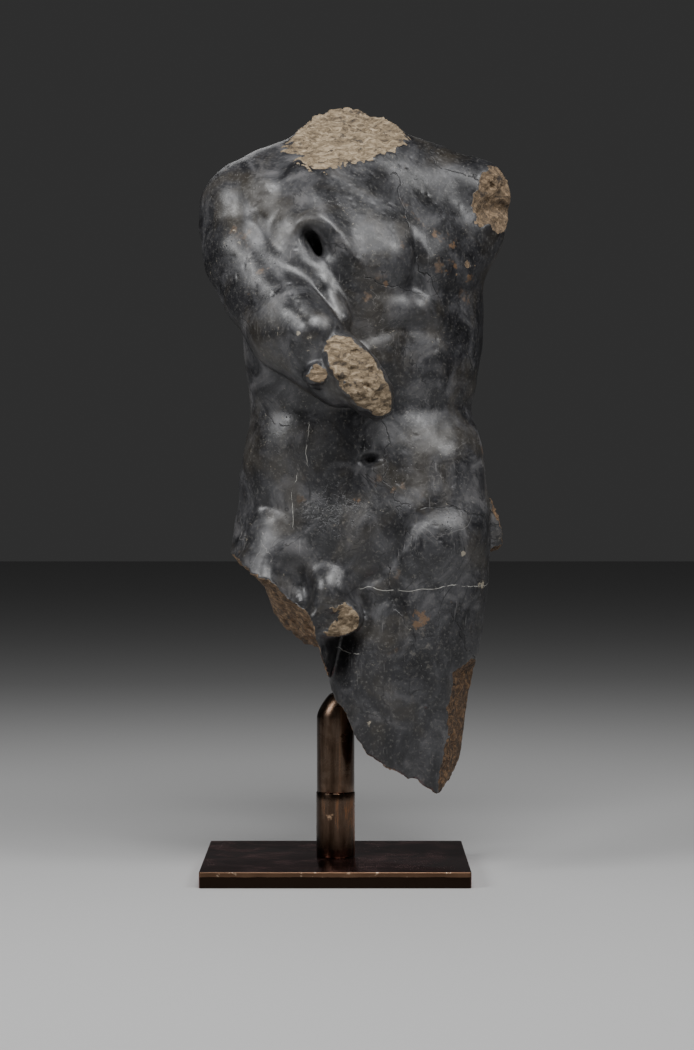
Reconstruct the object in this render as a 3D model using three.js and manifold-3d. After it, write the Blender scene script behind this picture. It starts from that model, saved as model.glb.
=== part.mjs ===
// Marble torso of a youth, broken at the neck, arms and thighs, on its round
// metal post and base plate. Units are millimetres and +Z is up. The origin is
// the middle of the plate's underside, +X is the viewer's right, and the front
// of the figure looks towards -Y.
import * as THREE from "three";
import { mergeVertices } from "three/addons/utils/BufferGeometryUtils.js";
import Module from "manifold-3d";

// ---------------------------------------------------------------- metal stand
const PLATE_WIDTH = 334;
const PLATE_DEPTH = 294;
const PLATE_THICKNESS = 20;
const PLATE_EDGE = 1.5;
const PLATE_CORNER = 3;
const POST_RADIUS = 24;
const SOCKET_RADIUS = 24.6;
const FOOT_CHAMFER = 0.8;
const POST_JOINT = 102;
const JOINT_CHAMFER = 0.8;
const DOME_START = 196;
const DOME_TOP = 229;
const PIN_RADIUS = 9;
const PIN_TOP = 330;
const PIN_LEAN = 7;
const GAP = 0.3;
const ROUND_SIDES = 40;

// --------------------------------------------------------------- stone figure
// Level sections of the trunk, bottom to top: height, middle (x, y), half width,
// depth to the front and to the back, and the turn of the body in degrees.
const TRUNK = [
  [330, 20, 0, 70, 50, 60, -14],
  [352, 24, 0, 112, 74, 88, -15],
  [380, 30, 0, 142, 84, 106, -15],
  [410, 32, 0, 158, 91, 112, -12],
  [440, 34, 0, 162, 95, 108, -8],
  [470, 36, 0, 160, 94, 98, -4],
  [505, 34, 0, 155, 92, 84, 1],
  [540, 35, 0, 149, 91, 72, 8],
  [583, 34, 0, 145, 90, 66, 15],
  [620, 34, 0, 150, 94, 70, 20],
  [675, 34, 0, 159, 102, 82, 26],
  [730, 35, 2, 162, 106, 94, 30],
  [790, 35, 5, 162, 105, 100, 31],
  [840, 34, 7, 148, 93, 97, 31],
  [880, 31, 8, 116, 76, 86, 30],
  [912, 27, 8, 80, 58, 70, 26],
  [940, 21, 10, 54, 42, 50, 20],
  [960, 20, 10, 44, 34, 40, 20],
];
const TRUNK_SQUARENESS = 2.35;
const TRUNK_BOTTOM = 334;
const TRUNK_TOP = 944;
// The left thigh in the same way; it hangs nearly straight down.
const THIGH = [
  [80, 81, -4, 72, 72, 62, 0],
  [150, 80, -4, 80, 78, 66, 0],
  [200, 79, -4, 87, 82, 70, 0],
  [250, 84, -4, 92, 84, 76, 0],
  [300, 92, -4, 94, 86, 84, 0],
  [341, 100, -2, 92, 88, 92, 0],
  [390, 108, 0, 88, 88, 90, 0],
  [440, 108, 0, 80, 80, 80, 0],
  [480, 104, 0, 60, 60, 60, 0],
];
const THIGH_SQUARENESS = 2.1;
// The body's own middle line wanders to the left side as the chest turns.
const MIDLINE = [
  [330, 0], [525, 1], [580, 6], [627, 11], [700, 13], [762, 12], [807, 6], [886, 3], [960, 0],
];
const NAVEL_HEIGHT = 525;
const NIPPLE_HEIGHT = 757;
const BREAST_HEIGHT = 746;

// Extent of the stone and the fineness of its surface.
const STONE_LOW = [-196, -204, 92];
const STONE_HIGH = [232, 160, 996];
const SAMPLE_STEP = 6.5;
const STONE_TRIANGLES = 8800;

// ------------------------------------------------------------- colours of parts
const STONE_COLOUR = 0x4a4b50;
const POST_COLOUR = 0x3a2a20;
const SOCKET_COLOUR = 0x35271e;
const PLATE_COLOUR = 0x33261d;

// ================================================================ field helpers
// A field is negative inside the stone and positive outside, near to millimetres.
const { abs, exp, hypot, max, min, sqrt } = Math;
const radians = THREE.MathUtils.degToRad;
const clamp01 = (t) => min(1, max(0, t));
const smoothstep = (t) => clamp01(t) ** 2 * (3 - 2 * clamp01(t));

function join(a, b, blend) {
  const h = max(blend - abs(a - b), 0) / blend;
  return min(a, b) - h * h * blend * 0.25;
}

const cut = (a, b, blend) => -join(-a, -b, blend);

// A smooth curve through [height, value] knots.
function curveThrough(knots) {
  const last = knots.length - 1;
  const slopes = knots.slice(1).map(([z, value], i) => (value - knots[i][1]) / (z - knots[i][0]));
  const tangents = knots.map(([z], i) => {
    if (i === 0) return slopes[0];
    if (i === last) return slopes[last - 1];
    const below = z - knots[i - 1][0];
    const above = knots[i + 1][0] - z;
    return (slopes[i] * below + slopes[i - 1] * above) / (below + above);
  });
  return (height) => {
    const z = min(max(height, knots[0][0]), knots[last][0]);
    let i = 0;
    while (i < last - 1 && z >= knots[i + 1][0]) i += 1;
    const span = knots[i + 1][0] - knots[i][0];
    const t = (z - knots[i][0]) / span;
    return knots[i][1] * (1 + 2 * t) * (1 - t) ** 2 + tangents[i] * span * t * (1 - t) ** 2
      + knots[i + 1][1] * t * t * (3 - 2 * t) + tangents[i + 1] * span * t * t * (t - 1);
  };
}

// A limb with round ends that tapers from radius ra at a to radius rb at b.
function limb(p, a, ra, b, rb) {
  const d = [b[0] - a[0], b[1] - a[1], b[2] - a[2]];
  const length2 = d[0] ** 2 + d[1] ** 2 + d[2] ** 2;
  const along = (p[0] - a[0]) * d[0] + (p[1] - a[1]) * d[1] + (p[2] - a[2]) * d[2];
  const t = clamp01(along / length2);
  return hypot(p[0] - a[0] - t * d[0], p[1] - a[1] - t * d[1], p[2] - a[2] - t * d[2])
    - (ra + (rb - ra) * t);
}

// Offset from a centre, turned about the front-to-back axis.
function offset(p, centre, roll) {
  const x = p[0] - centre[0];
  const z = p[2] - centre[2];
  const c = Math.cos(radians(roll));
  const s = Math.sin(radians(roll));
  return [c * x + s * z, p[1] - centre[1], -s * x + c * z];
}

function egg(p, centre, radii, roll = 0) {
  const q = offset(p, centre, roll);
  const k0 = hypot(q[0] / radii[0], q[1] / radii[1], q[2] / radii[2]);
  const k1 = hypot(q[0] / radii[0] ** 2, q[1] / radii[1] ** 2, q[2] / radii[2] ** 2) + 1e-9;
  return (k0 * (k0 - 1)) / k1;
}

// Soft swell round a place in space, and round a place on the front or back.
function swell(p, centre, radii, roll = 0) {
  const q = offset(p, centre, roll);
  return exp(-((q[0] / radii[0]) ** 2 + (q[1] / radii[1]) ** 2 + (q[2] / radii[2]) ** 2));
}

const spot = (u, z, centre, radii, roll = 0) =>
  swell([u, 0, z], [centre[0], 0, centre[1]], [radii[0], 1, radii[1]], roll);

// Soft crease along a line of [across, height] points.
function crease(u, z, line, width) {
  let nearest = Infinity;
  for (let i = 1; i < line.length; i += 1) {
    const [a, b] = line[i - 1];
    const [c, d] = line[i];
    const t = clamp01(((u - a) * (c - a) + (z - b) * (d - b)) / ((c - a) ** 2 + (d - b) ** 2));
    nearest = min(nearest, hypot(u - a - t * (c - a), z - b - t * (d - b)));
  }
  return exp(-((nearest / width) ** 2));
}

// Distance past a plane through a point, positive on the side the normal shows.
function past(p, point, normal) {
  const length = hypot(...normal);
  return ((p[0] - point[0]) * normal[0] + (p[1] - point[1]) * normal[1]
    + (p[2] - point[2]) * normal[2]) / length;
}

// A form swept up through level sections, each a squarish oval with a front and
// a back depth, turned about the upright.
function sweptForm(sections, squareness) {
  const [x, y, half, front, back, turn] = [1, 2, 3, 4, 5, 6].map((column) =>
    curveThrough(sections.map((row) => [row[0], row[column]])));
  return (p) => {
    const angle = radians(turn(p[2]));
    const dx = p[0] - x(p[2]);
    const dy = p[1] - y(p[2]);
    const u = dx * Math.cos(angle) + dy * Math.sin(angle);
    const v = dy * Math.cos(angle) - dx * Math.sin(angle);
    const towardsBack = 1 / (1 + exp(-v / 12));
    const width = half(p[2]);
    const depth = front(p[2]) * (1 - towardsBack) + back(p[2]) * towardsBack;
    const reach = ((abs(u) / width) ** squareness + (abs(v) / depth) ** squareness)
      ** (1 / squareness);
    const field = reach > 1e-3 ? ((reach - 1) * hypot(u, v)) / reach : -min(width, depth);
    return [field, u, v];
  };
}

// ============================================================ relief of the body
// Heights stand out from the swept trunk; u runs across the body from its own
// middle line, and each side carries the sign of its u.
const onFront = (v) => smoothstep(-v / 30);
const onBack = (v) => smoothstep(v / 30);

function breasts(u, z) {
  const leftSide = smoothstep((u + 14) / 28);
  const lowerRight = BREAST_HEIGHT + 70 * smoothstep((-u - 74) / 56);
  const lowerLeft = BREAST_HEIGHT - 2 + 0.1 * max(u - 30, 0) + 34 * smoothstep((u - 84) / 60);
  const lower = lowerRight + (lowerLeft - lowerRight) * leftSide;
  const above = z - lower - 10 * exp(-((u / 16) ** 2));
  const soft = 20 + 4 * leftSide;
  const rise = smoothstep((above + soft) / (2 * soft));
  const fall = exp(-((max(above - 26, 0) / 66) ** 2));
  const within = (1 - smoothstep((-u - 112) / 34)) * (1 - smoothstep((u - 104) / 50));
  const valley = exp(-((u / (6 + 0.12 * max(800 - z, 0))) ** 2));
  let height = 10.5 * rise * fall * within;
  height += 3.5 * spot(u, z, [-31, 782], [24, 30]);
  height += 3 * spot(u, z, [46, 800], [46, 40]);
  height -= 8 * valley * smoothstep((z - 722) / 20) * (1 - smoothstep((z - 762) / 60));
  height -= 1.8 * exp(-((u / 15) ** 2)) * smoothstep((z - 760) / 30)
    * (1 - smoothstep((z - 880) / 30));
  for (const side of [-1, 1]) {
    height += 2.6 * spot(u, z, [side * 84 - 3, NIPPLE_HEIGHT], [5, 5]);
  }
  return height;
}

function belly(u, z) {
  let height = 7 * spot(u, z, [2, 712], [60, 19]);
  height -= 3.5 * crease(u, z, [[-74, 670], [-20, 690], [24, 690], [72, 672]], 10);
  height += 6.5 * spot(u, z, [50, 642], [44, 34]);
  height += 6 * spot(u, z, [-48, 642], [42, 34]);
  height += 3 * spot(u, z, [98, 690], [40, 36]);
  height -= 5.5 * crease(u, z, [[30, 594], [84, 588], [150, 592]], 17);
  height -= 4 * crease(u, z, [[-150, 590], [-84, 586], [-30, 590]], 15);
  height -= 2 * exp(-((u / 9) ** 2)) * smoothstep((z - 540) / 40)
    * (1 - smoothstep((z - 720) / 20));
  for (const side of [-1, 1]) {
    height -= 2.4 * crease(side * u, z, [[84, 560], [76, 520], [66, 478]], 13);
  }
  height += 10 * spot(u, z, [2, 438], [56, 48]);
  height += 5 * spot(u, z, [0, 520], [44, 30]);
  height -= 17 * spot(u, z, [1, NAVEL_HEIGHT], [11, 6], -6);
  return height;
}

function groinFolds(u, z) {
  const crest = [[172, 486], [124, 466], [92, 460], [73, 448]];
  const left = [[76, 446], [68, 418], [52, 386], [30, 370], [16, 346], [12, 322]];
  const right = [[-115, 466], [-94, 458], [-76, 437], [-56, 415], [-39, 395], [-30, 372]];
  let height = -3.6 * crease(u, z, crest, 17);
  height -= 2 * crease(u, z, [[-172, 474], [-115, 466]], 15);
  height -= 5.5 * crease(u, z, left, 9);
  height -= 5 * crease(u, z, right, 8.5);
  height += 8 * spot(u, z, [92, 538], [36, 28]);
  height += 5 * spot(u, z, [-106, 438], [28, 24]);
  height += 5 * spot(u, z, [128, 420], [30, 26]);
  return height;
}

function flanks(u, z, v) {
  const wrap = smoothstep((50 - v) / 60);
  return (6 * spot(u, z, [128, 530], [36, 34]) + 7 * spot(u, z, [-112, 536], [46, 34])) * wrap;
}

function backForms(u, z) {
  const waistToShoulder = smoothstep((z - 460) / 60) * (1 - smoothstep((z - 850) / 60));
  let height = -9 * exp(-((u / 14) ** 2)) * waistToShoulder;
  height += 6 * exp(-(((abs(u) - 36) / 22) ** 2)) * smoothstep((z - 480) / 60)
    * (1 - smoothstep((z - 700) / 80));
  for (const side of [-1, 1]) {
    height += 9 * spot(u, z, [side * 84, 800], [40, 54], side * 14);
    height -= 4 * crease(side * u, z, [[44, 850], [54, 790], [84, 738], [120, 724]], 12);
    height += 5 * spot(u, z, [side * 112, 690], [34, 70], side * -14);
  }
  height += 29 * spot(u, z, [-74, 404], [56, 54]);
  height += 29 * spot(u, z, [70, 412], [54, 56]);
  height -= 16 * exp(-((u / 9) ** 2)) * (1 - smoothstep((z - 440) / 40));
  height -= 5 * crease(u, z, [[30, 486], [90, 500], [150, 490]], 14);
  return height;
}

// ================================================================ masses of stone
const trunkForm = sweptForm(TRUNK, TRUNK_SQUARENESS);
const thighForm = sweptForm(THIGH, THIGH_SQUARENESS);
const midline = curveThrough(MIDLINE);

function trunk(p) {
  const [field, across, v] = trunkForm(p);
  const z = p[2];
  const u = across - midline(z);
  const relief = onFront(v) * (breasts(u, z) + belly(u, z) + groinFolds(u, z))
    + flanks(u, z, v) + onBack(v) * backForms(u, z);
  return cut(cut(field, TRUNK_BOTTOM - z, 34), z - TRUNK_TOP, 24) - relief;
}

function leftShoulder(p) {
  const ball = join(limb(p, [62, 18, 890], 57, [178, 34, 869], 44),
    egg(p, [180, 40, 836], [40, 48, 62]), 26);
  return join(ball, limb(p, [66, 14, 922], 20, [124, 24, 902], 22), 20);
}

function rightShoulder(p) {
  return join(limb(p, [-24, 6, 890], 52, [-97, -16, 849], 58),
    limb(p, [-30, 10, 918], 22, [-88, 0, 896], 24), 20);
}

// Where the neck is broken off, sloping up to the back.
const NECK_BREAK = { point: [0, 0, 940], normal: [0, -0.68, 1] };

function neck(p) {
  return cut(limb(p, [16, 14, 880], 57, [16, 8, 1000], 53),
    past(p, NECK_BREAK.point, NECK_BREAK.normal), 3);
}

function leftThigh(p) {
  const [x, y, z] = p;
  const front = smoothstep(-y / 30);
  const valley = crease(x, z, [[102, 330], [104, 220], [98, 110]], 15);
  const column = cut(cut(thighForm(p)[0], z - 462, 40), 90 - z, 20);
  return column + front * valley * (4 + 7 * smoothstep((260 - z) / 140))
    * smoothstep((380 - z) / 80) - 5 * front * spot(x, z, [66, 330], [26, 60]);
}

const rightThighStub = (p) => limb(p, [-46, 2, 415], 82, [-84, -40, 290], 84);

const groinRoot = (p) => egg(p, [-5, -80, 356], [19, 24, 30]);

// What is left of the groin, broken off to a flat patch.
function groin(p) {
  const lump = join(egg(p, [2, -84, 328], [31, 27, 24]), groinRoot(p), 8);
  return cut(lump, past(p, [0, -99, 335], [0, -0.96, -0.28]), 3);
}

// Stump of a strut on the hip.
function strut(p) {
  const block = egg(p, [186, 38, 438], [36, 26, 42]);
  return cut(cut(block, past(p, [201, 0, 470], [0.956, 0, 0.294]), 3),
    past(p, [217, 0, 416], [0.39, 0, -0.92]), 3);
}

// Lines over the front, as (x, height) points: the groove between shoulder and breast,
// and the fold of the right breast round the hollow beside the arm.
const ARMPIT_GROOVE = [[-94, 872], [-83, 850], [-73, 828], [-66, 806]];
const BREAST_FOLD = [[-40, 819], [-24, 820], [-8, 813], [3, 801], [9, 786], [12, 770]];

// The right arm, held across the body and broken at the elbow.
function rightArm(p) {
  let arm = limb(p, [-113, -14, 824], 61, [-105, -36, 784], 60);
  arm = join(arm, limb(p, [-105, -36, 784], 60, [-86, -58, 738], 55.5), 10);
  arm = join(arm, limb(p, [-86, -58, 738], 55.5, [-54, -98, 684], 51), 10);
  arm = join(arm, limb(p, [-54, -98, 684], 51, [8, -134, 630], 42), 10);
  arm = join(arm, limb(p, [-108, -58, 790], 34, [-26, -146, 682], 30), 22);
  const innerMuscle = join(limb(p, [-57, -95, 808], 12, [-14, -115, 740], 12),
    limb(p, [-14, -115, 740], 12, [4, -128, 696], 16), 8);
  arm = join(arm, innerMuscle, 4);
  arm += 5 * crease(p[0], p[2], ARMPIT_GROOVE, 6) * smoothstep((-p[1] - 40) / 30);
  const forearm = cut(egg(p, [28, -150, 626], [31, 70, 60], 36),
    past(p, [32, -188, 626], [0.16, -0.98, 0.1]), 10);
  arm = join(arm, forearm, 10);
  const elbowKnob = cut(egg(p, [-21, -152, 628], [18, 30, 18]),
    past(p, [-21, -176, 628], [-0.1, -0.99, 0]), 3);
  arm = join(arm, elbowKnob, 7);
  arm = join(arm, egg(p, [-95, -80, 822], [14, 10, 14]), 5);
  return join(arm, egg(p, [-90, -63, 860], [10, 9, 7]), 6);
}

// =================================================================== the breaks
// Each is the distance outside the stone that the break leaves.
function shoulderBreak(p) {
  const deeper = 7 * exp(-(((p[2] - 847) / 15) ** 2)) - 6 * smoothstep((832 - p[2]) / 20) - 3;
  const face = past(p, [170, -24, 0], [0.767, -0.64, 0]) + deeper;
  return join(face, p[2] - 752 - 0.3 * (p[0] - 200), 12);
}

// The slanting break turns to the front as it nears the groin.
function rightThighBreak(p) {
  const turn = 0.4 * smoothstep((p[0] + 104) / 34) - 0.04;
  const slant = past(p, [-132, -65, 408.5], [0.862, 0.27, 1]) + (turn - 0.27) * (p[1] + 65) * 0.74;
  const innerFace = p[0] - (p[2] < 248 ? -9 : -26 + (311 - p[2]) * 0.2857);
  return -cut(slant, innerFace, 2);
}

// The lower break dips where more of the thigh is left.
function leftThighBreak(p) {
  const [x] = p;
  const dip = 13 * exp(-(((x - 46) / 22) ** 2)) - 8 * smoothstep((24 - x) / 14)
    - 5 * smoothstep((x - 88) / 20);
  return -past(p, [0, -70, 206], [0.85, -0.31, 1]) - dip * 0.74;
}

const leftThighTip = (p) => -past(p, [123, 0, 97], [-1.25, 0, 1]);

function outerThighFlake(p) {
  return 0.93 * (p[0] - 154) - 0.36 * (p[1] + 10) - 0.115 * (p[2] - 135)
    - 0.8 * max(p[2] - 258, 0);
}

const neckBreak = (p) => past(p, NECK_BREAK.point, NECK_BREAK.normal) - 4;

function stone(p) {
  const [x, y, z] = p;
  let field = join(trunk(p), leftShoulder(p), 30);
  field = cut(field, shoulderBreak(p), 4);
  field = join(field, rightShoulder(p), 32);
  field = cut(join(field, neck(p), 26), neckBreak(p), 3);
  field = join(join(field, leftThigh(p), 16), rightThighStub(p), 14);
  field = cut(field, -egg(p, [-47, -106, 372], [25, 40, 44], 34), 12);
  field = join(join(field, groinRoot(p), 28), groin(p), 8);
  field += 6 * swell(p, [-16, -110, 766], [22, 50, 26], 28);
  field -= 8 * crease(x, z, BREAST_FOLD, 13) * smoothstep((-y - 50) / 30);
  field = cut(field, -egg(p, [-22, -126, 785], [17, 50, 33], 26), 10);
  field = join(field, strut(p), 6);
  const armBlend = 9 + 40 * smoothstep((z - 800) / 70) + 30 * smoothstep((y + 10) / 40);
  field = join(field, rightArm(p), armBlend);
  field = cut(field, rightThighBreak(p), 2);
  field = cut(field, leftThighBreak(p), 2);
  field = cut(field, leftThighTip(p), 14);
  return cut(field, outerThighFlake(p), 3);
}

// ============================================================ field to a surface
function slopeOf(field, p) {
  const step = 0.5;
  return [0, 1, 2].map((axis) => {
    const ahead = [...p];
    const behind = [...p];
    ahead[axis] += step;
    behind[axis] -= step;
    return (field(ahead) - field(behind)) / (2 * step);
  });
}

// The four corners of each face of a grid cell, anticlockwise from outside it.
// Bit 0 of a corner's number is its x, bit 1 its y and bit 2 its z.
const CELL_FACES = [0, 1, 2].flatMap((axis) => {
  const [b, c] = [1 << (axis + 1) % 3, 1 << (axis + 2) % 3];
  return [[0, c, b + c, b], [0, b, b + c, c].map((corner) => corner + (1 << axis))];
});

// The surface leaves one point on each grid edge that it crosses. In each cell
// those points form closed rings, and each ring is a fan of faces round its middle.
function surfaceOf(field, low, high, step) {
  const count = low.map((value, axis) => Math.ceil((high[axis] - value) / step) + 1);
  const strides = [1, count[0], count[0] * count[1]];
  const place = (index) => [
    low[0] + (index % count[0]) * step,
    low[1] + (Math.floor(index / strides[1]) % count[1]) * step,
    low[2] + Math.floor(index / strides[2]) * step,
  ];
  const values = new Float32Array(strides[2] * count[2]);
  values.forEach((_, index) => {
    values[index] = field(place(index)) || 1e-6;
  });
  const points = [];
  const triangles = [];
  const pointOfEdge = new Map();
  const pointOn = (a, b) => {
    const [lower, upper] = a < b ? [a, b] : [b, a];
    const key = lower * 3 + strides.indexOf(upper - lower);
    if (!pointOfEdge.has(key)) {
      const t = values[lower] / (values[lower] - values[upper]);
      const [start, end] = [place(lower), place(upper)];
      pointOfEdge.set(key, points.length);
      points.push(start.map((value, n) => value + (end[n] - value) * clamp01(t)));
    }
    return pointOfEdge.get(key);
  };
  const fillCell = (corners) => {
    const inside = corners.map((index) => values[index] < 0);
    if (inside.every((value) => value === inside[0])) return;
    const next = new Map();
    for (const face of CELL_FACES) {
      face.forEach((corner, n) => {
        const after = face[(n + 1) % 4];
        if (!inside[corner] || inside[after]) return;
        let first = n;
        while (inside[face[(first + 3) % 4]]) first = (first + 3) % 4;
        const before = face[(first + 3) % 4];
        next.set(pointOn(corners[corner], corners[after]),
          pointOn(corners[before], corners[face[first]]));
      });
    }
    while (next.size > 0) {
      const ring = [];
      let at = next.keys().next().value;
      while (next.has(at)) {
        ring.push(at);
        const following = next.get(at);
        next.delete(at);
        at = following;
      }
      const middle = [0, 1, 2].map((n) => ring.reduce((sum, k) => sum + points[k][n], 0) / ring.length);
      ring.forEach((k, n) => triangles.push([points.length, ring[(n + 1) % ring.length], k]));
      points.push(middle);
    }
  };
  for (let k = 0; k < count[2] - 1; k += 1) {
    for (let j = 0; j < count[1] - 1; j += 1) {
      for (let i = 0; i < count[0] - 1; i += 1) {
        const base = i + j * strides[1] + k * strides[2];
        fillCell([0, 1, 2, 3, 4, 5, 6, 7].map((corner) =>
          base + (corner & 1) + ((corner >> 1) & 1) * strides[1] + (corner >> 2) * strides[2]));
      }
    }
  }
  for (const point of points) {
    for (let round = 0; round < 2; round += 1) {
      const slope = slopeOf(field, point);
      const steepness2 = slope[0] ** 2 + slope[1] ** 2 + slope[2] ** 2 + 1e-6;
      const move = min(max(field(point) / steepness2, -step / 4), step / 4);
      for (let n = 0; n < 3; n += 1) point[n] -= move * slope[n];
    }
  }
  return { points, triangles };
}

// ============================================================== fewer, larger faces
// Edges are drawn together in the order of the least change to the surface, by
// the squared distance of a new point from the planes of the faces round it.
const cross = (a, b) => [
  a[1] * b[2] - a[2] * b[1], a[2] * b[0] - a[0] * b[2], a[0] * b[1] - a[1] * b[0],
];
const minus = (a, b) => [a[0] - b[0], a[1] - b[1], a[2] - b[2]];
const dot = (a, b) => a[0] * b[0] + a[1] * b[1] + a[2] * b[2];

// Ten sums: the upper half of the 4 by 4 product of a plane with itself.
function planeSums(a, b, c) {
  const normal = cross(minus(b, a), minus(c, a));
  const doubled = hypot(...normal) + 1e-12;
  const [x, y, z] = normal.map((value) => value / doubled);
  const d = -dot([x, y, z], a);
  return [x * x, x * y, x * z, x * d, y * y, y * z, y * d, z * z, z * d, d * d]
    .map((value) => value * doubled * 0.5);
}

function departure(sums, [x, y, z]) {
  return sums[0] * x * x + 2 * sums[1] * x * y + 2 * sums[2] * x * z + 2 * sums[3] * x
    + sums[4] * y * y + 2 * sums[5] * y * z + 2 * sums[6] * y
    + sums[7] * z * z + 2 * sums[8] * z + sums[9];
}

// The point with the least departure, or the middle where there is no such point.
function bestPoint(sums, a, b) {
  const [xx, xy, xz, xd, yy, yz, yd, zz, zd] = sums;
  const middle = a.map((value, n) => (value + b[n]) / 2);
  const size = xx + yy + zz;
  const pull = size * 1e-3;
  const m = [[xx + pull, xy, xz], [xy, yy + pull, yz], [xz, yz, zz + pull]];
  const right = [pull * middle[0] - xd, pull * middle[1] - yd, pull * middle[2] - zd];
  const whole = dot(m[0], cross(m[1], m[2]));
  if (abs(whole) < 1e-12 * size ** 3) return middle;
  const solve = (column) => {
    const rows = m.map((row, n) => row.map((value, axis) => (axis === column ? right[n] : value)));
    return dot(rows[0], cross(rows[1], rows[2])) / whole;
  };
  return [solve(0), solve(1), solve(2)];
}

class Heap {
  items = [];

  push(item) {
    const { items } = this;
    let i = items.push(item) - 1;
    while (i > 0 && items[(i - 1) >> 1].cost > item.cost) {
      items[i] = items[(i - 1) >> 1];
      i = (i - 1) >> 1;
    }
    items[i] = item;
  }

  pop() {
    const { items } = this;
    const top = items[0];
    const item = items.pop();
    if (items.length === 0) return top;
    let i = 0;
    for (let child = 1; child < items.length; child = 2 * i + 1) {
      if (child + 1 < items.length && items[child + 1].cost < items[child].cost) child += 1;
      if (items[child].cost >= item.cost) break;
      items[i] = items[child];
      i = child;
    }
    items[i] = item;
    return top;
  }
}

function thinned({ points, triangles }, target) {
  const facesOf = points.map(() => new Set());
  const sums = points.map(() => new Array(10).fill(0));
  triangles.forEach((face, index) => {
    const plane = planeSums(...face.map((corner) => points[corner]));
    for (const corner of face) {
      facesOf[corner].add(index);
      plane.forEach((value, n) => {
        sums[corner][n] += value;
      });
    }
  });
  const version = new Uint32Array(points.length);
  const heap = new Heap();
  const offer = (a, b) => {
    const both = sums[a].map((value, n) => value + sums[b][n]);
    const point = bestPoint(both, points[a], points[b]);
    heap.push({ a, b, point, cost: departure(both, point), versions: [version[a], version[b]] });
  };
  const neighbours = (corner) => {
    const found = new Set();
    for (const face of facesOf[corner]) triangles[face].forEach((other) => found.add(other));
    found.delete(corner);
    return found;
  };
  const turnsOver = (corner, other, point) => [...facesOf[corner]].some((index) => {
    const face = triangles[index];
    if (face.includes(other)) return false;
    const before = face.map((n) => points[n]);
    const after = face.map((n) => (n === corner ? point : points[n]));
    const old = cross(minus(before[1], before[0]), minus(before[2], before[0]));
    const now = cross(minus(after[1], after[0]), minus(after[2], after[0]));
    const longest = max(...[0, 1, 2].map((n) => hypot(...minus(after[n], after[(n + 1) % 3]))));
    return dot(old, now) < 0.3 * hypot(...old) * hypot(...now) || hypot(...now) < 0.06 * longest ** 2;
  });
  for (let corner = 0; corner < points.length; corner += 1) {
    for (const other of neighbours(corner)) if (corner < other) offer(corner, other);
  }
  let left = triangles.length;
  while (left > target && heap.items.length > 0) {
    const { a, b, point, versions } = heap.pop();
    if (version[a] !== versions[0] || version[b] !== versions[1]) continue;
    const around = neighbours(b);
    const shared = [...neighbours(a)].filter((corner) => around.has(corner));
    if (shared.length !== 2 || turnsOver(a, b, point) || turnsOver(b, a, point)) continue;
    points[a] = point;
    sums[a] = sums[a].map((value, n) => value + sums[b][n]);
    for (const index of facesOf[b]) {
      const face = triangles[index];
      if (face.includes(a)) {
        face.forEach((corner) => facesOf[corner].delete(index));
        triangles[index] = null;
        left -= 1;
      } else {
        face[face.indexOf(b)] = a;
        facesOf[a].add(index);
      }
    }
    facesOf[b] = new Set();
    version[a] += 1;
    version[b] += 1;
    for (const other of neighbours(a)) offer(a, other);
  }
  return { points, triangles: triangles.filter((face) => face !== null) };
}

// ===================================================================== solids
function geometryOf({ points, triangles }) {
  const geometry = new THREE.BufferGeometry();
  geometry.setAttribute("position", new THREE.Float32BufferAttribute(points.flat(), 3));
  geometry.setIndex(triangles.flat());
  return geometry;
}

function solidOf(wasm, geometry) {
  const bare = geometry.clone();
  bare.deleteAttribute("normal");
  bare.deleteAttribute("uv");
  const merged = mergeVertices(bare, 1e-3);
  return new wasm.Manifold(new wasm.Mesh({
    numProp: 3,
    vertProperties: new Float32Array(merged.attributes.position.array),
    triVerts: new Uint32Array(merged.index.array),
  }));
}

function geometryOfSolid(solid) {
  const { vertProperties, triVerts } = solid.getMesh();
  const geometry = new THREE.BufferGeometry();
  geometry.setAttribute("position", new THREE.BufferAttribute(vertProperties, 3));
  geometry.setIndex(new THREE.BufferAttribute(triVerts, 1));
  return geometry;
}

// A turned upright bar from [radius, height] points that start and end on the axis.
function turnedBar(profile) {
  const bar = new THREE.LatheGeometry(profile.map(([r, z]) => new THREE.Vector2(r, z)), ROUND_SIDES);
  return bar.rotateX(Math.PI / 2);
}

// The post's upper length: straight, then a pointed dome, then the pin in the
// stone. The dome leans so that the pin sits well inside the thigh.
function upperPostGeometry(grow) {
  const domeSteps = 7;
  const foot = POST_JOINT + GAP - grow;
  const profile = [
    [0, foot],
    [POST_RADIUS - JOINT_CHAMFER + grow, foot],
    [POST_RADIUS + grow, foot + JOINT_CHAMFER],
  ];
  for (let i = 0; i <= domeSteps; i += 1) {
    const t = i / domeSteps;
    const radius = PIN_RADIUS + (POST_RADIUS - PIN_RADIUS) * sqrt(1 - t ** 1.8);
    profile.push([radius + grow, DOME_START + (DOME_TOP - DOME_START) * t]);
  }
  profile.push([PIN_RADIUS + grow, PIN_TOP + grow], [0, PIN_TOP + grow]);
  const bar = turnedBar(profile);
  const position = bar.attributes.position;
  for (let i = 0; i < position.count; i += 1) {
    const lean = smoothstep((position.getZ(i) - DOME_START) / (DOME_TOP - DOME_START));
    position.setX(i, position.getX(i) + PIN_LEAN * lean);
  }
  return bar;
}

function lowerPostGeometry() {
  const foot = PLATE_THICKNESS + GAP;
  return turnedBar([
    [0, foot],
    [SOCKET_RADIUS - FOOT_CHAMFER, foot],
    [SOCKET_RADIUS, foot + FOOT_CHAMFER],
    [SOCKET_RADIUS, POST_JOINT - JOINT_CHAMFER],
    [SOCKET_RADIUS - JOINT_CHAMFER, POST_JOINT],
    [0, POST_JOINT],
  ]);
}

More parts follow.
